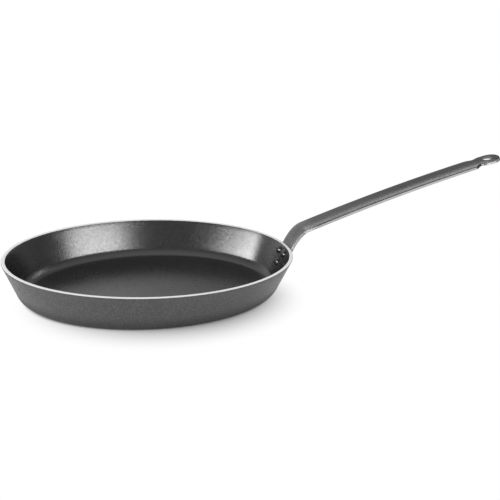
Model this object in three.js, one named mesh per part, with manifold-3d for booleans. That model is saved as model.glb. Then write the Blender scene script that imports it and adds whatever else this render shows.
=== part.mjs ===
// Oval frying pan: a pressed aluminium body and a strip-steel handle held by three rivets.
// Millimetres, +Z up, +X along the handle. The origin is the centre of the flat base.
import * as THREE from 'three';
import { mergeVertices } from 'three/addons/utils/BufferGeometryUtils.js';
import Module from 'manifold-3d';

const wasm = await Module();
wasm.setup();

// Pan body
const rimLength = 360; // outside the rim, along X
const rimWidth = 260; // outside the rim, along Y
const panHeight = 51.5;
const wall = 4.3;
const wallLean = 21.5; // degrees outward from upright
const floorThickness = 6; // thicker than the wall, to stay flat over heat
const toeRadius = 19; // outside, where the wall turns into the base
const filletRadius = 14.5; // inside, where the wall turns into the floor
const rimRound = 0.8; // outer edge of the bare rim
const rimBreak = 0.5; // inner edge of the bare rim

// Handle, cut from strip, then dished, crowned and bent
const stripWidth = 29.5; // of the face that lies on the wall and becomes the top of the run
const stripThickness = 3.5;
const stripSplay = 18; // degrees that the sides lean out towards the underside
const stripEdge = 0.6; // rounded along every edge
const crownHeight = 1.2; // middle of the run above its edges
const bendAbove = 12.4; // straight stretch from the rim to the bend
const bendRadius = 29.5; // of the face that lies on the wall
const runRise = 20.3; // degrees, where the run leaves the bend
const archRadius = 3200; // the run bows gently downward
const runLength = 292.7; // end of the bend to the middle of the hanging eye
const neckWidth = 21.5;
const neckRadius = 10;
const shoulderRadius = 9;
const eyeDiameter = 28.5;
const eyeHole = 15.5;
const eyeChamfer = 0.8;

// Rivets, a pair under the rim and one below them
const rivetSpacing = 18;
const upperRivetDrop = 10.5; // down the wall from the rim
const lowerRivetDrop = 25.5;
const tongueMargin = 10; // strip below the lower rivet's axis
const shankDiameter = 5;
const headDiameter = 11; // inside the pan
const headHeight = 3.2;
const tailDiameter = 9.5; // formed outside, on the strip
const tailHeight = 2.2;
const headLip = 0.6; // upright edge of either head

const fitGap = 0.3; // between pieces that touch

// Facets
const ovalSides = 96;
const toeSteps = 7;
const edgeSteps = 4;
const cornerSteps = 2;
const widthSteps = 6;
const bendSteps = 10;
const runSteps = 14;
const roundSides = 24;
const domeSteps = 5;
const endAngle = THREE.MathUtils.degToRad(8); // where a round end of the strip is closed

const lean = THREE.MathUtils.degToRad(wallLean);
const rise = THREE.MathUtils.degToRad(runRise);
const splay = THREE.MathUtils.degToRad(stripSplay);
const rimAngle = Math.PI / 2 - lean; // between the wall and the rim's flat top
const rimLoss = rimRound / Math.tan(rimAngle / 2) - rimRound; // taken off the sharp edge
const halfLength = rimLength / 2 + rimLoss; // of the oval where wall and top would meet
const halfWidth = rimWidth / 2 + rimLoss;
const halfStrip = stripWidth / 2;

// Evenly spaced values from one end to the other
function spread(from, to, steps) {
  return Array.from({ length: steps + 1 }, (_, i) => from + ((to - from) * i) / steps);
}

// Joins rings of equal length into one skin and closes its two ends with fans
function skin(rings) {
  const sides = rings[0].length;
  const middle = (ring) => {
    const sum = ring.reduce((total, point) => total.add(point), new THREE.Vector3());
    return sum.divideScalar(sides);
  };
  const points = [...rings.flat(), middle(rings[0]), middle(rings.at(-1))];
  const first = points.length - 2;
  const last = points.length - 1;
  const index = [];
  for (let j = 0; j < sides; j++) {
    const next = (j + 1) % sides;
    for (let row = 0; row + 1 < rings.length; row++) {
      const low = row * sides;
      const high = low + sides;
      index.push(low + j, low + next, high + next, low + j, high + next, high + j);
    }
    const top = (rings.length - 1) * sides;
    index.push(first, next, j, last, top + j, top + next);
  }
  const geometry = new THREE.BufferGeometry().setFromPoints(points);
  geometry.setIndex(index);
  return geometry;
}

function solid(geometry) {
  const bare = geometry.clone();
  bare.deleteAttribute('normal');
  bare.deleteAttribute('uv');
  const merged = mergeVertices(bare);
  const vertProperties = new Float32Array(merged.attributes.position.array);
  const triVerts = new Uint32Array(merged.index.array);
  return new wasm.Manifold(new wasm.Mesh({ numProp: 3, vertProperties, triVerts }));
}

function cut(geometry, cutters) {
  const result = cutters.reduce((left, cutter) => left.subtract(solid(cutter)), solid(geometry));
  const mesh = result.getMesh();
  const shape = new THREE.BufferGeometry();
  shape.setAttribute('position', new THREE.BufferAttribute(mesh.vertProperties, 3));
  shape.setIndex(new THREE.BufferAttribute(mesh.triVerts, 1));
  return shape;
}

// Moves a shape made about the Y axis to a seat with another axis
function seated(geometry, seat) {
  const turn = new THREE.Quaternion().setFromUnitVectors(new THREE.Vector3(0, 1, 0), seat.axis);
  return geometry.applyQuaternion(turn).translate(seat.point.x, seat.point.y, seat.point.z);
}

// The pan's oval

// A point at an angle round the rim's oval, moved square to it
function ovalPoint(angle, inset, height) {
  const across = halfWidth * Math.cos(angle);
  const along = halfLength * Math.sin(angle);
  const length = Math.hypot(across, along);
  return new THREE.Vector3(
    halfLength * Math.cos(angle) - (inset * across) / length,
    halfWidth * Math.sin(angle) - (inset * along) / length,
    height,
  );
}

// Unit vector from the wall into the pan, square to the leaning wall
function inward(angle) {
  const out = ovalPoint(angle, -1, 0).sub(ovalPoint(angle, 0, 0));
  return out.multiplyScalar(-Math.cos(lean)).setZ(Math.sin(lean));
}

// Wall in section, as pairs of inset and height: base, toe, rim, inner wall and floor
function wallSection() {
  const arc = (inset, height, radius, from, to, steps) =>
    spread(from, to, steps).map((angle) => [
      inset + radius * Math.cos(angle),
      height + radius * Math.sin(angle),
    ]);
  const down = -Math.PI / 2;
  const up = Math.PI / 2;
  const outward = lean - Math.PI; // square to the outer face of the wall
  // Inset of an arc's centre that is tangent to a wall face lying some depth in
  const tangentInset = (depth, radius, height) =>
    (depth + radius + Math.sin(lean) * (panHeight - height)) / Math.cos(lean);
  const filletHeight = floorThickness + filletRadius;
  const filletInset = tangentInset(wall, filletRadius, filletHeight);
  const roundInset = rimRound / Math.tan(rimAngle / 2);
  const breakInset = wall / Math.cos(lean) - rimBreak * Math.tan(rimAngle / 2);
  return [
    ...arc(tangentInset(0, toeRadius, toeRadius), toeRadius, toeRadius, down, outward, toeSteps),
    ...arc(roundInset, panHeight - rimRound, rimRound, outward, up - 2 * Math.PI, edgeSteps),
    ...arc(breakInset, panHeight - rimBreak, rimBreak, up, lean, edgeSteps),
    ...arc(filletInset, filletHeight, filletRadius, outward, down, toeSteps),
  ];
}

function panBody(rivetHoles) {
  const angles = spread(0, 2 * Math.PI, ovalSides).slice(0, ovalSides);
  const rings = wallSection().map(([inset, height]) =>
    angles.map((angle) => ovalPoint(angle, inset, height)),
  );
  return cut(skin(rings), rivetHoles);
}

// The strip's line and outline, by length along it from the rim

const rootRise = Math.PI / 2 - lean;
const bendEnd = bendAbove + bendRadius * (rootRise - rise);
const eyeAt = bendEnd + runLength;
const eyeRadius = eyeDiameter / 2;
const tongueEnd = -lowerRivetDrop - tongueMargin;

// Position and rise of the strip's wall-side face on the middle plane
function stripLine(at) {
  const root = ovalPoint(0, 0, panHeight).addScaledVector(inward(0), -fitGap);
  const along = (angle) => new THREE.Vector3(Math.cos(angle), 0, Math.sin(angle));
  const square = (angle) => new THREE.Vector3(-Math.sin(angle), 0, Math.cos(angle));
  const turned = (start, angle, radius, length) => {
    const after = angle - length / radius;
    const point = start.clone();
    point.addScaledVector(square(angle), -radius).addScaledVector(square(after), radius);
    return { point, angle: after };
  };
  const bendStart = root.clone().addScaledVector(along(rootRise), Math.min(at, bendAbove));
  let place = { point: bendStart, angle: rootRise };
  if (at > bendAbove) {
    place = turned(bendStart, rootRise, bendRadius, Math.min(at, bendEnd) - bendAbove);
  }
  if (at > bendEnd) {
    place = turned(place.point, place.angle, archRadius, at - bendEnd);
  }
  return { point: place.point, up: square(place.angle) };
}

// Neck between the straight edges and the eye: a convex shoulder, then a hollow
const neckCentre = neckWidth / 2 + neckRadius;
const neckReach = eyeRadius + neckRadius;
const neckAt = eyeAt - Math.sqrt(neckReach ** 2 - neckCentre ** 2);
const shoulderCentre = halfStrip - shoulderRadius;
const arcsApart = neckRadius + shoulderRadius;
const shoulderAt = neckAt - Math.sqrt(arcsApart ** 2 - (neckCentre - shoulderCentre) ** 2);

// One long side of the strip in plan, each point with the direction out of the strip there
function stripOutline() {
  const arc = (at, side, radius, from, to, steps) =>
    spread(from, to, steps).map((angle) => ({
      at: at + radius * Math.sin(angle),
      half: side + radius * Math.cos(angle),
      outAlong: Math.sin(angle),
      outAcross: Math.cos(angle),
    }));
  const straight = (from, to, steps) =>
    spread(from, to, steps).map((at) => ({ at, half: halfStrip, outAlong: 0, outAcross: 1 }));
  const tongueCentre = tongueEnd + halfStrip;
  const end = Math.PI / 2 - endAngle;
  const shoulderTurn = Math.asin((neckAt - shoulderAt) / arcsApart);
  const eyeTurn = Math.asin((eyeAt - neckAt) / neckReach);
  return [
    ...arc(tongueCentre, 0, halfStrip, -end, 0, edgeSteps * 2),
    ...straight(tongueCentre, bendAbove, edgeSteps).slice(1),
    ...straight(bendAbove, bendEnd, bendSteps).slice(1),
    ...straight(bendEnd, shoulderAt, runSteps).slice(1),
    ...arc(shoulderAt, shoulderCentre, shoulderRadius, 0, shoulderTurn, edgeSteps).slice(1),
    ...arc(neckAt, neckCentre, -neckRadius, shoulderTurn, -eyeTurn, edgeSteps * 2).slice(1),
    ...arc(eyeAt, 0, eyeRadius, -eyeTurn, end, roundSides / 2).slice(1),
  ];
}

// Bow across the strip: dished to the pan's wall at the root, crowned along the run
function bowAt(at) {
  const endRadius = halfWidth ** 2 / halfLength;
  const dished = Math.cos(lean) / (endRadius + Math.min(at, 0) * Math.sin(lean));
  const crowned = (-2 * crownHeight) / halfStrip ** 2;
  return THREE.MathUtils.lerp(dished, crowned, THREE.MathUtils.smoothstep(at, 0, bendEnd));
}

// Side of the strip in section, from the underside to the upper face, with rounded edges:
// x is the distance out from the plan outline and y the depth
function stripSide() {
  const upper = new THREE.Vector2(0, 0);
  const lower = new THREE.Vector2(stripThickness * Math.tan(splay), -stripThickness);
  const inwards = new THREE.Vector2(-stripEdge, 0);
  const upwards = upper.clone().sub(lower).setLength(stripEdge);
  const rounded = (before, corner, after) =>
    new THREE.QuadraticBezierCurve(before, corner, after).getPoints(cornerSteps);
  return [
    ...rounded(lower.clone().add(inwards), lower, lower.clone().add(upwards)),
    ...rounded(upper.clone().sub(upwards), upper, upper.clone().add(inwards)),
  ];
}

function handle(rivetHoles) {
  const side = stripSide();
  const rings = stripOutline().map(({ at, half, outAlong, outAcross }) => {
    const place = (out, depth, share) => {
      const along = at + out * outAlong;
      const across = share * (half + out * outAcross);
      const { point, up } = stripLine(along);
      return point.addScaledVector(up, depth + (bowAt(along) * across ** 2) / 2).setY(across);
    };
    const face = (edge, shares) => shares.slice(1, -1).map((share) => place(edge.x, edge.y, share));
    return [
      ...face(side[0], spread(-1, 1, widthSteps)),
      ...side.map((edge) => place(edge.x, edge.y, 1)),
      ...face(side.at(-1), spread(1, -1, widthSteps)),
      ...side.toReversed().map((edge) => place(edge.x, edge.y, -1)),
    ];
  });
  return cut(skin(rings), [...rivetHoles, hangingHole()]);
}

// Cutter for the eye, flared at both faces of the strip
function hangingHole() {
  const { point, up } = stripLine(eyeAt);
  const radius = eyeHole / 2;
  const past = stripThickness; // the cutter runs on beyond both faces
  const profile = [
    new THREE.Vector2(0, -stripThickness - past),
    new THREE.Vector2(radius + eyeChamfer + past, -stripThickness - past),
    new THREE.Vector2(radius, -stripThickness + eyeChamfer),
    new THREE.Vector2(radius, -eyeChamfer),
    new THREE.Vector2(radius + eyeChamfer + past, past),
    new THREE.Vector2(0, past),
  ];
  return seated(new THREE.LatheGeometry(profile, roundSides), { point, axis: up });
}

// Rivets, each square to the wall where it stands

function rivetSeat(side, drop) {
  const angle = Math.asin(side / halfWidth);
  const inset = drop * Math.sin(lean);
  const height = panHeight - drop * Math.cos(lean);
  return { point: ovalPoint(angle, inset, height), axis: inward(angle) };
}

// Hole through wall and strip, about the outer face of the wall
function rivetHole(seat) {
  const radius = shankDiameter / 2 + fitGap;
  const length = 4 * (wall + stripThickness);
  return seated(new THREE.CylinderGeometry(radius, radius, length, roundSides), seat);
}

// Domed head as profile points from its edge to the axis, pointing up or down
function dome(diameter, height, seatHeight, way) {
  const radius = diameter / 2;
  const cap = height - headLip;
  const sphere = (radius ** 2 + cap ** 2) / (2 * cap);
  const edge = Math.asin(Math.min(1, radius / sphere));
  const crown = spread(edge, 0, domeSteps).map((angle) => {
    const rim = headLip + sphere * (Math.cos(angle) - Math.cos(edge));
    return new THREE.Vector2(sphere * Math.sin(angle), seatHeight + way * rim);
  });
  crown[domeSteps].x = 0;
  return [new THREE.Vector2(radius, seatHeight), ...crown];
}

function rivet() {
  const shank = shankDiameter / 2;
  const headSeat = wall + fitGap;
  const tailSeat = -stripThickness - 2 * fitGap;
  const profile = [
    ...dome(tailDiameter, tailHeight, tailSeat, -1).reverse(),
    new THREE.Vector2(shank, tailSeat),
    new THREE.Vector2(shank, headSeat),
    ...dome(headDiameter, headHeight, headSeat, 1),
  ];
  return new THREE.LatheGeometry(profile, roundSides);
}

// Assembly

const darkCoat = { color: 0x454547, roughness: 0.45, metalness: 0.2 };
const darkSteel = { color: 0x58585a, roughness: 0.5, metalness: 0.6 };
const coatedRivet = { color: 0x333335, roughness: 0.35, metalness: 0.3 };

const pan = new THREE.Group();

function addPiece(name, geometry, finish) {
  const piece = new THREE.Mesh(geometry, new THREE.MeshStandardMaterial(finish));
  piece.name = name;
  geometry.computeVertexNormals();
  pan.add(piece);
}

const rivets = {
  rivet_upper_front: rivetSeat(-rivetSpacing / 2, upperRivetDrop),
  rivet_upper_back: rivetSeat(rivetSpacing / 2, upperRivetDrop),
  rivet_lower: rivetSeat(0, lowerRivetDrop),
};
const rivetHoles = Object.values(rivets).map(rivetHole);

addPiece('pan_body', panBody(rivetHoles), darkCoat);
addPiece('handle', handle(rivetHoles), darkSteel);
for (const [name, seat] of Object.entries(rivets)) {
  addPiece(name, seated(rivet(), seat), coatedRivet);
}

export default pan;
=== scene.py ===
from math import asin, cos, hypot, pi, radians, sin, sqrt, tan
import bmesh
import bpy
from mathutils import Matrix, Vector


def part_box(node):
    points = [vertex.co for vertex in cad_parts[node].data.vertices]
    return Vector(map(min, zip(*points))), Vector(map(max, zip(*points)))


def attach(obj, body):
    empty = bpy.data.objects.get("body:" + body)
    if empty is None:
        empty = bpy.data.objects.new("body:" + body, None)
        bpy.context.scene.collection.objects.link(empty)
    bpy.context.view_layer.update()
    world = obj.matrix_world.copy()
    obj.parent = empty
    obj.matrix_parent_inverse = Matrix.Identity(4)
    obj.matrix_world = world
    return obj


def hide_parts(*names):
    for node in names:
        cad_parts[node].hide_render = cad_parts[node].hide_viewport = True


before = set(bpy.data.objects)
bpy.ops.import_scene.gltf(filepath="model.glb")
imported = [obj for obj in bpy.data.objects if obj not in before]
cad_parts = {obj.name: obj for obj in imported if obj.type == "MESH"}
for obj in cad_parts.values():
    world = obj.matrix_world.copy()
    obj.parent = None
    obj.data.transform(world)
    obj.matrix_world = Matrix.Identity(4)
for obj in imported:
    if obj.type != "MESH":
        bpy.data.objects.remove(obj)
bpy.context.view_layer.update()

scene = bpy.context.scene
mm = 0.001
print("frame loaded:", ", ".join(sorted(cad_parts)))


# mesh helpers

def spread(start, end, steps):
    return [start + (end - start) * i / steps for i in range(steps + 1)]


def smoothstep(value, low, high):
    t = min(1, max(0, (value - low) / (high - low)))
    return t * t * (3 - 2 * t)


def arcPoints(centre, radius, start, end, steps):
    return [(centre[0] + radius * cos(a), centre[1] + radius * sin(a)) for a in spread(start, end, steps)]


# a half outline of radius and height, spun around an axis
def spunRings(outline, point, axis, sides):
    turn = Vector((0, 0, 1)).rotation_difference(axis)
    angles = spread(0, 2 * pi, sides)[:-1]
    return [[point + turn @ Vector((r * cos(a), r * sin(a), h)) for a in angles] for r, h in outline]


# rings of points become one closed skin, with a finish for each row between two rings
def skinMesh(name, rings, rowFinishes=None):
    mesh = bmesh.new()
    rows = [[mesh.verts.new(p) for p in ring] for ring in rings]
    finishes = rowFinishes or [0] * len(rings)
    count = len(rings[0])
    pairs = [(j, (j + 1) % count) for j in range(count)]

    def addFace(corners, finish):
        face = mesh.faces.new(corners)
        face.material_index = finish
        face.smooth = True

    for low, high, finish in zip(rows, rows[1:], finishes):
        for j, n in pairs:
            addFace((low[j], low[n], high[n], high[j]), finish)
    for ring, finish, flip in ((rows[0], finishes[0], True), (rows[-1], finishes[-1], False)):
        middle = mesh.verts.new(sum((v.co for v in ring), Vector()) / count)
        for j, n in pairs:
            addFace((middle, ring[n], ring[j]) if flip else (middle, ring[j], ring[n]), finish)
    data = bpy.data.meshes.new(name)
    mesh.to_mesh(data)
    mesh.free()
    piece = bpy.data.objects.new(name, data)
    scene.collection.objects.link(piece)
    return piece


def pointsOf(piece):
    return [vertex.co for vertex in piece.data.vertices]


# a value for each vertex that a material can read by name
def paintVertices(piece, name, values):
    layer = piece.data.attributes.new(name, "FLOAT", "POINT")
    layer.data.foreach_set("value", values)


def dressPiece(piece, node, slot, *materials):
    for material in materials:
        piece.data.materials.append(material)
    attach(piece, "root")
    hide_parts(node)
    print("made", piece.name, "with", len(piece.data.vertices), "points")


# node helpers

# a socket takes another node's output or a plain value
def feed(tree, socket, value):
    if isinstance(value, bpy.types.NodeSocket):
        tree.links.new(value, socket)
    else:
        socket.default_value = value


def addNode(tree, kind, settings=None, **inputs):
    node = tree.nodes.new(kind)
    for name, value in (settings or {}).items():
        setattr(node, name, value)
    for name, value in inputs.items():
        feed(tree, node.inputs[name.replace("_", " ")], value)
    return node


def mathNode(tree, operation, first, second):
    node = addNode(tree, "ShaderNodeMath", {"operation": operation})
    for socket, value in zip(node.inputs, (first, second)):
        feed(tree, socket, value)
    return node.outputs[0]


# inputs 6 and 7 and output 2 are the mix node's colours
def mixColour(tree, factor, first, second):
    node = addNode(tree, "ShaderNodeMix", {"data_type": "RGBA"})
    for i, value in ((0, factor), (6, first), (7, second)):
        feed(tree, node.inputs[i], value)
    return node.outputs[2]


def mixShaders(tree, factor, first, second):
    node = addNode(tree, "ShaderNodeMixShader", None, Fac=factor)
    tree.links.new(first.outputs[0], node.inputs[1])
    tree.links.new(second.outputs[0], node.inputs[2])
    return node


def mapRange(tree, value, fromRange, toRange, settings=None):
    node = addNode(tree, "ShaderNodeMapRange", settings, Value=value, From_Min=fromRange[0],
                   From_Max=fromRange[1], To_Min=toRange[0], To_Max=toRange[1])
    return node.outputs["Result"]


def newGroup(name, inputs, outputs):
    tree = bpy.data.node_groups.new(name, "ShaderNodeTree")
    for label, value in inputs.items():
        socket = tree.interface.new_socket(label, in_out="INPUT", socket_type="NodeSocketFloat")
        socket.default_value = value
    for label in outputs:
        tree.interface.new_socket(label, in_out="OUTPUT", socket_type="NodeSocketFloat")
    return tree, tree.nodes.new("NodeGroupInput"), tree.nodes.new("NodeGroupOutput")


def placeGroup(tree, group, **inputs):
    return addNode(tree, "ShaderNodeGroup", {"node_tree": group}, **inputs).outputs


def newMaterial(name):
    material = bpy.data.materials.new(name)
    material.use_nodes = True
    tree = material.node_tree
    return material, tree, tree.nodes["Principled BSDF"]


def grey(value):
    return (value, value, value, 1)


# shared effects

noiseMiddle = (0.3, 0.7)        # most of a noise lies between these
spray = dict(
    pebbleDetail=3.0, pebbleRoughness=0.6,
    fleckDensity=0.8,           # fleck cells for each pebble along a line
    fleckSoftness=0.06,         # at a fleck's outline
    cloudScale=28.0, cloudDetail=4.0,
)
edgeBreak = dict(
    scale=500.0, detail=4.0,
    least=0.2,                  # share of the rubbed-off coat and painted highlight that is left between the worn spots
)


# sprayed coat: fine pebble height, scattered flecks, grains of differing shine and slow cloudiness
def makeSprayGrain():
    tree, into, out = newGroup("sprayGrain", {"Grain Size": 1 * mm, "Fleck Share": 0.1},
                               ("Height", "Flecks", "Shine", "Cloud"))
    place = addNode(tree, "ShaderNodeTexCoord").outputs["Object"]
    density = mathNode(tree, "DIVIDE", 1.0, into.outputs["Grain Size"])
    pebble = addNode(tree, "ShaderNodeTexNoise", None, Vector=place, Scale=density,
                     Detail=spray["pebbleDetail"], Roughness=spray["pebbleRoughness"])
    cell = addNode(tree, "ShaderNodeTexVoronoi", None, Vector=place,
                   Scale=mathNode(tree, "MULTIPLY", density, spray["fleckDensity"]))
    share = into.outputs["Fleck Share"]
    outline = mathNode(tree, "ADD", share, spray["fleckSoftness"])
    flecks = mapRange(tree, cell.outputs["Distance"], (share, outline), (1.0, 0.0))
    shine = addNode(tree, "ShaderNodeSeparateColor", None, Color=cell.outputs["Color"])
    cloud = addNode(tree, "ShaderNodeTexNoise", None, Vector=place, Scale=spray["cloudScale"],
                    Detail=spray["cloudDetail"])
    tree.links.new(pebble.outputs["Fac"], out.inputs["Height"])
    tree.links.new(flecks, out.inputs["Flecks"])
    tree.links.new(shine.outputs["Red"], out.inputs["Shine"])
    tree.links.new(cloud.outputs["Fac"], out.inputs["Cloud"])
    return tree


# rubbed edges, and on the handle painted highlight: an edge value broken up by noise
def makeRubAndSheen():
    tree, into, out = newGroup("rubAndSheen", {"Edge": 0.0, "Amount": 0.5, "Break Up": edgeBreak["scale"]},
                               ("Mask",))
    place = addNode(tree, "ShaderNodeTexCoord").outputs["Object"]
    noise = addNode(tree, "ShaderNodeTexNoise", None, Vector=place, Scale=into.outputs["Break Up"],
                    Detail=edgeBreak["detail"])
    spots = mapRange(tree, noise.outputs["Fac"], noiseMiddle, (edgeBreak["least"], 1.0))
    broken = mathNode(tree, "MULTIPLY", into.outputs["Edge"], spots)
    tree.links.new(mathNode(tree, "MULTIPLY", broken, into.outputs["Amount"]), out.inputs["Mask"])
    return tree


sprayGrain = makeSprayGrain()
rubAndSheen = makeRubAndSheen()
print("shared effects ready")


# finishes

# gloss is the index of refraction, high enough for the metal pigment in the coat
# sparkle is the spread of roughness from grain to grain, and haze a wider, weaker shine
coats = dict(
    inside=dict(tone=0.004, fleckTone=0.03, roughness=(0.15, 0.20), sparkle=0.09, gloss=2.15, haze=0.12,
                grainSize=1.5 * mm, fleckShare=0.2, bumpDepth=0.11 * mm, rubAndSheenTone=0.03, rubAndSheenAmount=0.1),
    outside=dict(tone=0.040, fleckTone=0.09, roughness=(0.31, 0.41), sparkle=0.1, gloss=1.55, haze=0.0,
                 grainSize=2.1 * mm, fleckShare=0.32, bumpDepth=0.29 * mm, rubAndSheenTone=0.06, rubAndSheenAmount=0.1),
    handle=dict(tone=0.012, fleckTone=0.04, roughness=(0.20, 0.26), sparkle=0.04, gloss=1.85, haze=0.0,
                grainSize=0.9 * mm, fleckShare=0.10, bumpDepth=0.02 * mm, rubAndSheenTone=0.60, rubAndSheenAmount=1.0),
    rivet=dict(tone=0.004, fleckTone=0.012, roughness=(0.10, 0.15), sparkle=0.0, gloss=2.05, haze=0.0,
               grainSize=0.9 * mm, fleckShare=0.08, bumpDepth=0.02 * mm, rubAndSheenTone=0.05, rubAndSheenAmount=0.0),
)
everyCoat = dict(
    cloudiness=0.25,            # drift of the tone, up and down
    fleckCover=0.6,
    footShadeTone=0.2,             # share of the tone that is left at the base, where shade is painted into the coat
    footShadeRoughness=0.3,        # added there
    hazeRoughness=0.55, hazeGloss=1.8,
)


def makeCoat(name, look):
    material, tree, shader = newMaterial(name)
    grain = placeGroup(tree, sprayGrain, Grain_Size=look["grainSize"], Fleck_Share=look["fleckShare"])
    edge = addNode(tree, "ShaderNodeAttribute", {"attribute_name": "edge"}).outputs["Fac"]
    rubAndSheenOut = placeGroup(tree, rubAndSheen, Edge=edge, Amount=look["rubAndSheenAmount"], Break_Up=edgeBreak["scale"])
    paintedFootShade = addNode(tree, "ShaderNodeAttribute", {"attribute_name": "paintedFootShade"}).outputs["Fac"]

    tone, drift = look["tone"], everyCoat["cloudiness"]
    cloudy = mixColour(tree, grain["Cloud"], grey(tone * (1 - drift)), grey(tone * (1 + drift)))
    fleckMask = mathNode(tree, "MULTIPLY", grain["Flecks"], everyCoat["fleckCover"])
    flecked = mixColour(tree, fleckMask, cloudy, grey(look["fleckTone"]))
    # lighter where the coat is rubbed off; on the handle also painted highlight over the bend and around the
    # eye
    withRubAndSheen = mixColour(tree, rubAndSheenOut["Mask"], flecked, grey(look["rubAndSheenTone"]))
    # painted shade: the outside coat darkens towards its base
    withFootShade = mixColour(tree, paintedFootShade, withRubAndSheen, grey(tone * everyCoat["footShadeTone"]))
    tree.links.new(withFootShade, shader.inputs["Base Color"])

    satin = mapRange(tree, grain["Cloud"], noiseMiddle, look["roughness"])
    grainy = mathNode(tree, "ADD", satin, mathNode(tree, "MULTIPLY", grain["Shine"], look["sparkle"]))
    # rougher where the shade is painted, towards the base
    footShadeRough = mathNode(tree, "MULTIPLY", paintedFootShade, everyCoat["footShadeRoughness"])
    tree.links.new(mathNode(tree, "ADD", grainy, footShadeRough), shader.inputs["Roughness"])
    bump = addNode(tree, "ShaderNodeBump", None, Distance=look["bumpDepth"], Height=grain["Height"])
    tree.links.new(bump.outputs["Normal"], shader.inputs["Normal"])
    shader.inputs["IOR"].default_value = look["gloss"]
    shader.inputs["Coat Weight"].default_value = look["haze"]
    shader.inputs["Coat Roughness"].default_value = everyCoat["hazeRoughness"]
    shader.inputs["Coat IOR"].default_value = everyCoat["hazeGloss"]
    return material


turnedMetal = dict(
    tone=(0.90, 0.98), roughness=(0.42, 0.54), metallic=0.15,
    scratchScale=900.0, scratchDetail=3.0,
    scratchSqueeze=12,          # in height, so the scratches lie level
    bumpStrength=0.15, bumpDepth=0.03 * mm,
)


def makeBareRim():
    material, tree, shader = newMaterial("bareRim")
    look = turnedMetal
    place = addNode(tree, "ShaderNodeTexCoord").outputs["Object"]
    squeezed = addNode(tree, "ShaderNodeMapping", None, Vector=place, Scale=(1, 1, look["scratchSqueeze"]))
    scratch = addNode(tree, "ShaderNodeTexNoise", None, Vector=squeezed.outputs["Vector"],
                      Scale=look["scratchScale"], Detail=look["scratchDetail"]).outputs["Fac"]
    dark, light = look["tone"]
    tree.links.new(mixColour(tree, scratch, grey(dark), grey(light)), shader.inputs["Base Color"])
    tree.links.new(mapRange(tree, scratch, noiseMiddle, look["roughness"]), shader.inputs["Roughness"])
    bump = addNode(tree, "ShaderNodeBump", None, Strength=look["bumpStrength"], Distance=look["bumpDepth"],
                   Height=scratch)
    tree.links.new(bump.outputs["Normal"], shader.inputs["Normal"])
    shader.inputs["Metallic"].default_value = look["metallic"]
    return material


insideCoat = makeCoat("insideCoat", coats["inside"])
outsideCoat = makeCoat("outsideCoat", coats["outside"])
handleCoat = makeCoat("handleCoat", coats["handle"])
rivetCoat = makeCoat("rivetCoat", coats["rivet"])
bareRim = makeBareRim()
print("finishes ready")


# pan body

body = dict(
    lean=radians(21.5),         # wall, outward from upright
    wall=4.3 * mm,
    floor=6 * mm,               # thickness under the food
    toe=19 * mm,                # outside radius from wall to base
    fillet=14.5 * mm,           # inside radius from wall to floor
    rimRound=0.8 * mm,          # outer edge of the rim
    rimBreak=0.5 * mm,          # inner edge of the rim
    sides=384,
    toeSteps=20,
    wallSteps=8,
    edgeSteps=6,
    coatedSteps=4,              # of the outer edge that the coat still covers
    flatSteps=10,
    rubHeight=3 * mm,           # below the rim, where the coat is rubbed
    footShadeHeight=24 * mm,       # painted shade: the coat outside darkens from here to the base
)
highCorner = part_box("pan_body")[1]
lean = body["lean"]
wallRise = pi / 2 - lean
rimLoss = body["rimRound"] / tan(wallRise / 2) - body["rimRound"]     # from the sharp rim to the rounded one
halfLength = highCorner.x + rimLoss
halfWidth = highCorner.y + rimLoss
panHeight = highCorner.z
baseInset = (body["toe"] + sin(lean) * (panHeight - body["toe"])) / cos(lean)     # from the rim in
baseHalfLength = halfLength - baseInset
baseHalfWidth = halfWidth - baseInset


# direction out of the oval, in plan
def ovalOut(angle):
    return Vector((halfWidth * cos(angle), halfLength * sin(angle), 0)).normalized()


def ovalPoint(angle, inset, height):
    return Vector((halfLength * cos(angle), halfWidth * sin(angle), height)) - ovalOut(angle) * inset


# unit vector from the wall into the pan
def inward(angle):
    return Vector((0, 0, sin(lean))) - ovalOut(angle) * cos(lean)


# straight stretch of the wall's section, without its ends
def wallBetween(start, end):
    shares = spread(0, 1, body["wallSteps"])[1:-1]
    return [(start[0] + (end[0] - start[0]) * t, start[1] + (end[1] - start[1]) * t) for t in shares]


def shrunkRing(ring, share):
    return [Vector((p.x * (1 - share), p.y * (1 - share), p.z)) for p in ring]


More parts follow.
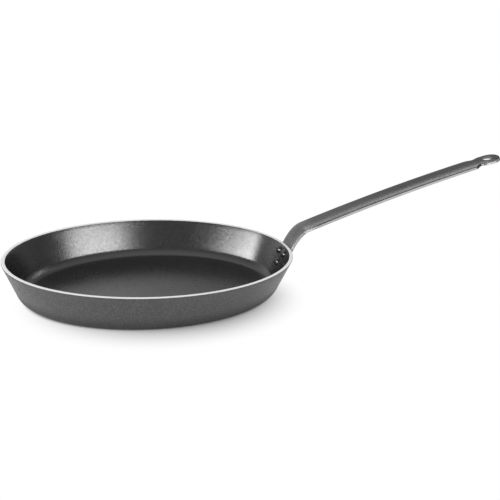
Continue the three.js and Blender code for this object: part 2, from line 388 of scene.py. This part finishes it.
def makePanBody():
    toe, wall, fillet, floorTop = body["toe"], body["wall"], body["fillet"], body["floor"]
    outerRound, innerRound = body["rimRound"], body["rimBreak"]
    down, up, outward = -pi / 2, pi / 2, lean - pi

    # section through the wall, as inset from the sharp rim and height
    outerCentre = (outerRound / tan(wallRise / 2), panHeight - outerRound)
    innerCentre = (wall / cos(lean) - innerRound * tan(wallRise / 2), panHeight - innerRound)
    filletInset = (wall + fillet - sin(lean) * (floorTop + fillet - panHeight)) / cos(lean)
    outer = arcPoints((baseInset, toe), toe, down, outward, body["toeSteps"])
    rimEdge = arcPoints(outerCentre, outerRound, outward, up - 2 * pi, body["edgeSteps"])
    rimEdge += arcPoints(innerCentre, innerRound, up, lean, body["edgeSteps"])
    inner = arcPoints((filletInset, floorTop + fillet), fillet, outward, down, body["toeSteps"])
    outer += wallBetween(outer[-1], rimEdge[0])
    inner = wallBetween(rimEdge[-1], inner[0]) + inner

    angles = spread(0, 2 * pi, body["sides"])[:-1]
    rings = [[ovalPoint(a, inset, height) for a in angles] for inset, height in outer + rimEdge + inner]
    shares = spread(0, 1, body["flatSteps"])[1:-1]
    base = [shrunkRing(rings[0], t) for t in reversed(shares)]
    floor = [shrunkRing(rings[-1], t) for t in shares]
    coatedRows = len(base) + len(outer) + body["coatedSteps"]
    bareRows = len(rimEdge) - 1 - body["coatedSteps"]
    insideRows = len(inner) + len(floor)
    rowFinishes = [0] * coatedRows + [1] * bareRows + [2] * insideRows     # in the order of the coats below
    piece = skinMesh("pan_body_shell", base + rings + floor, rowFinishes)

    points = pointsOf(piece)
    rubStart = panHeight - body["rubHeight"]
    outsideCount = (len(base) + len(outer)) * body["sides"]     # base and outer wall come first
    outside = [i < outsideCount or p.z == 0 for i, p in enumerate(points)]     # with the base's middle
    paintVertices(piece, "edge", [smoothstep(p.z, rubStart, panHeight) for p in points])
    # painted shade on the outside coat, darkest at the base and gone at the shade height
    paintVertices(piece, "paintedFootShade", [1 - smoothstep(p.z, 0, body["footShadeHeight"]) if isOutside else 0
                                    for p, isOutside in zip(points, outside)])
    dressPiece(piece, "pan_body", "coated_aluminium", outsideCoat, bareRim, insideCoat)


makePanBody()


# handle

strip = dict(
    width=29.5 * mm, thickness=3.5 * mm, splay=radians(18),
    edge=0.5 * mm, topEdge=1.1 * mm,            # radii along the underside and the upper face
    crown=1.2 * mm, crownBy=0.6,                # bow across the run, reached at this share of the bend
    bendAbove=12.4 * mm, bendRadius=29.5 * mm, rise=radians(20.3),
    runLength=292.7 * mm, archRadius=3200 * mm,
    neckWidth=21.5 * mm, neckRadius=10 * mm, shoulderRadius=9 * mm,
    eyeDiameter=28.5 * mm, eyeStretch=8 * mm,   # the eye's head is an oval between two centres
    eyeHole=12.8 * mm, holeBack=3.52 * mm, holeRound=0.8 * mm,
    fitGap=0.3 * mm,                            # between the strip and the wall
    tipAngle=radians(4),                        # by which the round ends stop short of their tips
    widthSteps=14, cornerSteps=4, bendSteps=36, runSteps=90,
    arcSteps=14, backSteps=13, eyeSteps=40, holeSteps=6, holeSides=96,
)
rivetPlace = dict(spacing=18 * mm, upperDrop=10.5 * mm, lowerDrop=25.5 * mm, tongueMargin=10 * mm)

halfStrip = strip["width"] / 2
bendEnd = strip["bendAbove"] + strip["bendRadius"] * (wallRise - strip["rise"])
eyeAt = bendEnd + strip["runLength"]
eyeBack = eyeAt - strip["eyeStretch"]
holeAt = eyeAt - strip["holeBack"]
eyeRadius = strip["eyeDiameter"] / 2
holeRadius = strip["eyeHole"] / 2
tongueEnd = -rivetPlace["lowerDrop"] - rivetPlace["tongueMargin"]
neckCentre = strip["neckWidth"] / 2 + strip["neckRadius"]
neckReach = eyeRadius + strip["neckRadius"]
neckAt = eyeBack - sqrt(neckReach ** 2 - neckCentre ** 2)
shoulderCentre = halfStrip - strip["shoulderRadius"]
arcsApart = strip["neckRadius"] + strip["shoulderRadius"]
shoulderAt = neckAt - sqrt(arcsApart ** 2 - (neckCentre - shoulderCentre) ** 2)


def squareTo(angle):
    return Vector((-sin(angle), 0, cos(angle)))


def turned(start, angle, radius, length):
    after = angle - length / radius
    return start - squareTo(angle) * radius + squareTo(after) * radius, after


# point on the middle of the wall-side face and the direction square to it, by length from the rim
def stripLine(at):
    root = ovalPoint(0, 0, panHeight) - inward(0) * strip["fitGap"]
    ahead = Vector((cos(wallRise), 0, sin(wallRise)))
    point, angle = root + ahead * min(at, strip["bendAbove"]), wallRise
    if at > strip["bendAbove"]:
        point, angle = turned(point, angle, strip["bendRadius"], min(at, bendEnd) - strip["bendAbove"])
    if at > bendEnd:
        point, angle = turned(point, angle, strip["archRadius"], at - bendEnd)
    return point, squareTo(angle)


def outlineArc(at, side, radius, start, end, steps):
    return [(at + radius * sin(a), side + radius * cos(a), sin(a), cos(a))
            for a in spread(start, end, steps)]


def outlineStraight(start, end, steps):
    return [(at, halfStrip, 0, 1) for at in spread(start, end, steps)]


# one long side in plan: length along, half width and the direction out of the strip
def stripOutline():
    tongueCentre = tongueEnd + halfStrip
    tip = pi / 2 - strip["tipAngle"]
    shoulderTurn = asin((neckAt - shoulderAt) / arcsApart)
    eyeTurn = asin((eyeBack - neckAt) / neckReach)
    steps = strip["arcSteps"]
    return (outlineArc(tongueCentre, 0, halfStrip, -tip, 0, steps)
            + outlineStraight(tongueCentre, strip["bendAbove"], steps)[1:]
            + outlineStraight(strip["bendAbove"], bendEnd, strip["bendSteps"])[1:]
            + outlineStraight(bendEnd, shoulderAt, strip["runSteps"])[1:]
            + outlineArc(shoulderAt, shoulderCentre, strip["shoulderRadius"], 0, shoulderTurn, steps)[1:]
            + outlineArc(neckAt, neckCentre, -strip["neckRadius"], shoulderTurn, -eyeTurn, steps)[1:]
            + outlineArc(eyeBack, 0, eyeRadius, -eyeTurn, 0, strip["backSteps"])[1:]
            + outlineArc(eyeAt, 0, eyeRadius, 0, tip, strip["eyeSteps"]))


# dished to the wall at the root, crowned along the run
def bowAt(at):
    endRadius = halfWidth ** 2 / halfLength
    dished = cos(lean) / (endRadius + min(at, 0) * sin(lean))
    crowned = -2 * strip["crown"] / halfStrip ** 2
    blend = smoothstep(at, 0, bendEnd * strip["crownBy"])
    return dished + (crowned - dished) * blend


# splayed side in section from underside to upper face, as distance out of the outline and depth
def stripSide():
    edge, topEdge, thick, splay = strip["edge"], strip["topEdge"], strip["thickness"], strip["splay"]
    foot = thick * tan(splay)
    tuck = edge * tan((pi / 2 + splay) / 2)         # from the sharp lower corner to its arc
    ease = topEdge * tan((pi / 2 - splay) / 2)      # from the sharp upper corner to its arc
    lower = arcPoints((foot - tuck, edge - thick), edge, -pi / 2, splay, strip["cornerSteps"])
    upper = arcPoints((-ease, -topEdge), topEdge, splay, pi / 2, strip["cornerSteps"])
    return lower + upper


# point of a side, or of a face at a share of the half width
def stripPoint(row, edge, share):
    at, half, outAlong, outAcross = row
    along = at + edge[0] * outAlong
    across = share * (half + edge[0] * outAcross)
    point, up = stripLine(along)
    return point + up * (edge[1] + bowAt(along) * across ** 2 / 2) + Vector((0, across, 0))


# cutter for the eye, with its rims rounded over
def hangingHole():
    point, up = stripLine(holeAt)
    thick, roundOver = strip["thickness"], strip["holeRound"]
    wide = holeRadius + roundOver
    past = thick                # the cutter runs on beyond both faces
    low = arcPoints((wide, roundOver - thick), roundOver, -pi / 2, -pi, strip["holeSteps"])
    high = arcPoints((wide, -roundOver), roundOver, pi, pi / 2, strip["holeSteps"])
    profile = [(wide, -thick - past)] + low + high + [(wide, past)]
    return skinMesh("eye_cutter", spunRings(profile, point, up, strip["holeSides"]))


wearAndSheen = dict(
    bendFace=0.34, bendEdge=0.8, eyeEdge=0.7, eyeHole=0.3,     # how far the coat is lightened, partly rubbed off and partly painted highlight
    faceMiddle=0.3,                     # share of the face's lightening along its middle
    edgeBand=(-0.75 * mm, -0.2 * mm),   # across, from an edge
    bendFade=(-2 * mm, 14 * mm),        # along, from the end of the bend
    eyeStart=-7.125 * mm,               # along, from the eye's back centre
    eyeFade=(5 * mm, 10 * mm),          # along, from the eye's front centre
    holeFade=(0.1 * mm, 0.9 * mm),      # out from the hole
)
bendX = stripLine(bendEnd)[0].x
eyeX = stripLine(eyeBack)[0].x
holeX = stripLine(holeAt)[0].x


# the coat is lightened over the bend, more along its edges, and around the eye: partly rubbed off, partly
# painted highlight where the bend and the eye's ring catch the light
def wearAndSheenMask(p):
    side = abs(p.y)
    pastBack = p.x - eyeX
    pastFront = pastBack - strip["eyeStretch"]
    middle = wearAndSheen["faceMiddle"]
    face = wearAndSheen["bendFace"] * (middle + (1 - middle) * (side / halfStrip) ** 2)
    corner = wearAndSheen["bendEdge"] * smoothstep(side - halfStrip, *wearAndSheen["edgeBand"])
    onBend = 1 - smoothstep(p.x - bendX, *wearAndSheen["bendFade"])
    ring = smoothstep(hypot(max(0, -pastBack, pastFront), side) - eyeRadius, *wearAndSheen["edgeBand"])
    onEye = (1 - smoothstep(pastFront, *wearAndSheen["eyeFade"])) * (pastBack > wearAndSheen["eyeStart"])
    inHole = 1 - smoothstep(hypot(p.x - holeX, side) - holeRadius, *wearAndSheen["holeFade"])
    return max(onBend * max(face, corner), wearAndSheen["eyeEdge"] * ring * onEye, wearAndSheen["eyeHole"] * inHole)


def makeHandle():
    side = stripSide()
    shares = spread(-1, 1, strip["widthSteps"])[1:-1]
    rings = [[stripPoint(row, side[0], share) for share in shares]
             + [stripPoint(row, edge, 1) for edge in side]
             + [stripPoint(row, side[-1], share) for share in reversed(shares)]
             + [stripPoint(row, edge, -1) for edge in reversed(side)]
             for row in stripOutline()]
    piece = skinMesh("handle_strip", rings)
    cutter = hangingHole()
    cut = piece.modifiers.new("eye", "BOOLEAN")
    cut.object = cutter
    cut.operation = "DIFFERENCE"
    cut.solver = "EXACT"
    bpy.context.view_layer.objects.active = piece
    bpy.ops.object.modifier_apply(modifier="eye")
    bpy.data.objects.remove(cutter)
    for polygon in piece.data.polygons:
        polygon.use_smooth = True
    piece.modifiers.new("evenShading", "WEIGHTED_NORMAL").keep_sharp = True     # rounded edges shade crisply
    # painted highlight and rubbed-off coat on the handle, as its edge value
    paintVertices(piece, "edge", [wearAndSheenMask(p) for p in pointsOf(piece)])
    dressPiece(piece, "handle", "coated_steel", handleCoat)


makeHandle()


# rivets

rivet = dict(
    shank=5 * mm, head=11 * mm, headHeight=3.2 * mm, tail=9.5 * mm, tailHeight=2.2 * mm,
    seatGap=0.06 * mm,          # under each head
    lip=0.6 * mm,               # upright edge of a head, below its dome
    footRound=0.35 * mm, footTuck=0.105 * mm,
    tipAngle=0.02,              # by which the dome stops short of its tip
    sides=64, domeSteps=12,
)


# half outline of a domed head, from its seat to the axis
def headOutline(diameter, height, seat, way):
    radius, lip = diameter / 2, rivet["lip"]
    cap = height - lip
    sphere = (radius ** 2 + cap ** 2) / (2 * cap)
    edge = asin(min(1, radius / sphere))
    dome = [(sphere * sin(a), seat + way * (lip + sphere * (cos(a) - cos(edge))))
            for a in spread(edge, rivet["tipAngle"], rivet["domeSteps"])]
    return [(radius - rivet["footTuck"], seat), (radius, seat + way * rivet["footRound"])] + dome


def makeRivet(node, side, drop):
    angle = asin(side / halfWidth)
    point = ovalPoint(angle, drop * sin(lean), panHeight - drop * cos(lean))
    headSeat = body["wall"] + rivet["seatGap"]
    tailSeat = -strip["fitGap"] - strip["thickness"] - rivet["seatGap"]
    outline = headOutline(rivet["tail"], rivet["tailHeight"], tailSeat, -1)[::-1]
    outline += [(rivet["shank"] / 2, tailSeat), (rivet["shank"] / 2, headSeat)]
    outline += headOutline(rivet["head"], rivet["headHeight"], headSeat, 1)
    piece = skinMesh(node + "_domed", spunRings(outline, point, inward(angle), rivet["sides"]))
    dressPiece(piece, node, "coated_rivet", rivetCoat)


makeRivet("rivet_upper_front", -rivetPlace["spacing"] / 2, rivetPlace["upperDrop"])
makeRivet("rivet_upper_back", rivetPlace["spacing"] / 2, rivetPlace["upperDrop"])
makeRivet("rivet_lower", 0, rivetPlace["lowerDrop"])


# floor, light and camera

ground = dict(
    size=8.0, tone=0.86, level=-0.1 * mm,
    glow=(72.7 * mm, 134.3 * mm),               # half widths of the ovals between which it turns white
    glowMiddle=(11.9 * mm, -22.9 * mm),         # middle of those ovals and of the shadow
    paintedContactShadow=(99.4 * mm, 106.2 * mm),               # half widths of the painted contact shadow, dark ovals close under the base
    bareInset=(2 * mm, 1 * mm),                 # in from the base's edge, where there is no floor
)


# pale matt floor that turns to plain white away from the pan and keeps the shadow near it, with a painted
# contact shadow close under the base
def makeFloor():
    half = ground["size"] / 2
    corners = [(x * half, y * half, ground["level"]) for x, y in ((-1, -1), (1, -1), (1, 1), (-1, 1))]
    data = bpy.data.meshes.new("floor")
    data.from_pydata(corners, [], [(0, 1, 2, 3)])
    floor = bpy.data.objects.new("floor", data)
    scene.collection.objects.link(floor)
    material, tree, shader = newMaterial("paleFloor")
    tree.nodes.remove(shader)
    place = addNode(tree, "ShaderNodeTexCoord").outputs["Object"]

    # from 0 to 1 between two ovals of one shape
    def ovalFade(middle, shape, halfWidths):
        squashed = addNode(tree, "ShaderNodeMapping", None, Vector=place, Scale=(shape, 1, 1),
                           Location=(-middle[0] * shape, -middle[1], 0))
        apart = addNode(tree, "ShaderNodeVectorMath", {"operation": "LENGTH"})
        tree.links.new(squashed.outputs["Vector"], apart.inputs[0])
        eased = {"interpolation_type": "SMOOTHSTEP"}
        return mapRange(tree, apart.outputs["Value"], halfWidths, (0.0, 1.0), eased)

    baseShape = baseHalfWidth / baseHalfLength
    clear = ovalFade((0, 0), baseShape, ground["paintedContactShadow"])
    beyondBase = ovalFade((0, 0), baseShape, [baseHalfWidth - inset for inset in ground["bareInset"]])
    away = ovalFade(ground["glowMiddle"], halfWidth / halfLength, ground["glow"])
    # painted contact shadow: the matt and white tones go to black in the ring close under the base
    mattTone = mixColour(tree, clear, grey(0.0), grey(ground["tone"]))
    whiteTone = mixColour(tree, clear, grey(0.0), grey(1.0))
    matt = addNode(tree, "ShaderNodeBsdfDiffuse", None, Color=mattTone)
    white = addNode(tree, "ShaderNodeEmission", None, Color=whiteTone, Strength=1.0)
    rays = addNode(tree, "ShaderNodeLightPath").outputs
    seen = mathNode(tree, "MAXIMUM", rays["Is Camera Ray"], rays["Is Glossy Ray"])
    seen = mathNode(tree, "MAXIMUM", seen, rays["Is Transmission Ray"])
    upper = mixShaders(tree, mathNode(tree, "MULTIPLY", seen, away), matt, white)

    # clear from below and under the base
    below = addNode(tree, "ShaderNodeNewGeometry").outputs["Backfacing"]
    missing = mathNode(tree, "MAXIMUM", below, mathNode(tree, "SUBTRACT", 1.0, beyondBase))
    onlyAbove = mixShaders(tree, missing, upper, addNode(tree, "ShaderNodeBsdfTransparent"))
    tree.links.new(onlyAbove.outputs[0], tree.nodes["Material Output"].inputs["Surface"])
    data.materials.append(material)


room = dict(
    front=0.18,                         # light in front and at the sides
    sweep=0.75, sweepAbove=0.3,         # behind, low and higher up
    sweepRight=0.44,                    # share of it towards the right
    overhead=0.3,                       # added straight above
    fill=0.2,                           # added to what is not mirrored
    behindFade=(0.1, 0.7),              # range of the direction's Y over which it changes
    sweepFade=(0.55, 0.80),             # of its Z
    rightFade=(0.10, 0.32),             # of its X
    overheadFade=(0.6, 1.0),            # of its Z
    horizonFade=(0.02, 0.06),           # of its Z
)


# white sweep behind the pan and darker room in front
# plain white where the camera looks, and low behind the pan in what mirrors it
def makeWorld():
    world = bpy.data.worlds.new("studio")
    world.use_nodes = True
    scene.world = world
    tree = world.node_tree
    backdrop = tree.nodes["Background"]
    direction = addNode(tree, "ShaderNodeTexCoord").outputs["Generated"]
    way = addNode(tree, "ShaderNodeSeparateXYZ", None, Vector=direction).outputs
    rays = addNode(tree, "ShaderNodeLightPath").outputs

    behind = mapRange(tree, way["Y"], room["behindFade"], (0.0, 1.0))
    sweep = mapRange(tree, way["Z"], room["sweepFade"], (room["sweep"], room["sweepAbove"]))
    aside = mapRange(tree, way["X"], room["rightFade"], (1.0, room["sweepRight"]))
    above = mapRange(tree, way["Z"], room["overheadFade"], (0.0, room["overhead"]))
    brighter = mathNode(tree, "SUBTRACT", mathNode(tree, "MULTIPLY", sweep, aside), room["front"])
    walls = mathNode(tree, "ADD", mathNode(tree, "MULTIPLY", behind, brighter), room["front"])
    unmirrored = mathNode(tree, "MULTIPLY", rays["Is Diffuse Ray"], room["fill"])
    light = mathNode(tree, "ADD", mathNode(tree, "ADD", walls, above), unmirrored)

    low = mapRange(tree, way["Z"], room["horizonFade"], (1.0, 0.0))
    horizon = mathNode(tree, "MULTIPLY", behind, low)
    seen = mathNode(tree, "MAXIMUM", rays["Is Camera Ray"], rays["Is Transmission Ray"])
    seen = mathNode(tree, "MAXIMUM", seen, mathNode(tree, "MULTIPLY", rays["Is Glossy Ray"], horizon))
    tree.links.new(mathNode(tree, "MAXIMUM", seen, light), backdrop.inputs["Strength"])
    backdrop.inputs["Color"].default_value = grey(1.0)


# soft boxes, with the brightness of their faces as glow
lamps = dict(
    rightBox=dict(place=(0.624, -0.812, 0.320), aim=(0, 0, 0), turn=-9, width=0.67, height=0.36, glow=6.1),
    leftBox=dict(place=(-0.954, -0.409, 0.262), aim=(0, 0, 0), turn=-6, width=1.15, height=0.35, glow=7.3),
    handleBox=dict(place=(0.345, 0.170, 0.3), aim=(0.345, 0.170, 0), turn=-18.7, width=0.43, height=0.045,
                   glow=3.0),
)


def makeLamp(name, box):
    lamp = bpy.data.lights.new(name, "AREA")
    lamp.shape = "RECTANGLE"
    lamp.size, lamp.size_y = box["width"], box["height"]
    lamp.energy = box["glow"] * pi * box["width"] * box["height"]
    piece = bpy.data.objects.new(name, lamp)
    piece.location = box["place"]
    facing = (Vector(box["place"]) - Vector(box["aim"])).to_track_quat("Z", "Y").to_matrix()
    piece.rotation_euler = (facing @ Matrix.Rotation(radians(box["turn"]), 3, "Z")).to_euler()
    piece.visible_camera = False
    scene.collection.objects.link(piece)


lens = dict(
    azimuth=radians(-21.19), elevation=radians(21.04), roll=radians(4.49),
    distance=0.8348, focalPixels=661.3, frameSize=500,
    aimHeight=25 * mm, aimPixel=(154.0, 272.5),     # where the aim point stands in the picture
    sensor=36.0,
)


def makeCamera():
    azimuth, elevation, roll = lens["azimuth"], lens["elevation"], lens["roll"]
    back = Vector((sin(azimuth) * cos(elevation), -cos(azimuth) * cos(elevation), sin(elevation)))
    level = Vector((cos(azimuth), sin(azimuth), 0))
    upright = back.cross(level)
    right = level * cos(roll) + upright * sin(roll)
    up = upright * cos(roll) - level * sin(roll)
    perPixel = lens["distance"] / lens["focalPixels"]
    centre = lens["frameSize"] / 2
    aside = right * (lens["aimPixel"][0] - centre) * perPixel
    below = up * (centre - lens["aimPixel"][1]) * perPixel
    data = bpy.data.cameras.new("camera")
    data.sensor_width = lens["sensor"]
    data.lens = lens["focalPixels"] / lens["frameSize"] * lens["sensor"]
    camera = bpy.data.objects.new("camera", data)
    place = Vector((0, 0, lens["aimHeight"])) - aside - below + back * lens["distance"]
    turn = Matrix((right, up, back)).transposed().to_4x4()
    camera.matrix_world = Matrix.Translation(place) @ turn
    scene.collection.objects.link(camera)
    scene.camera = camera


makeFloor()
makeWorld()
for name, box in lamps.items():
    makeLamp(name, box)
makeCamera()
scene.view_settings.view_transform = "Standard"
print("studio ready")
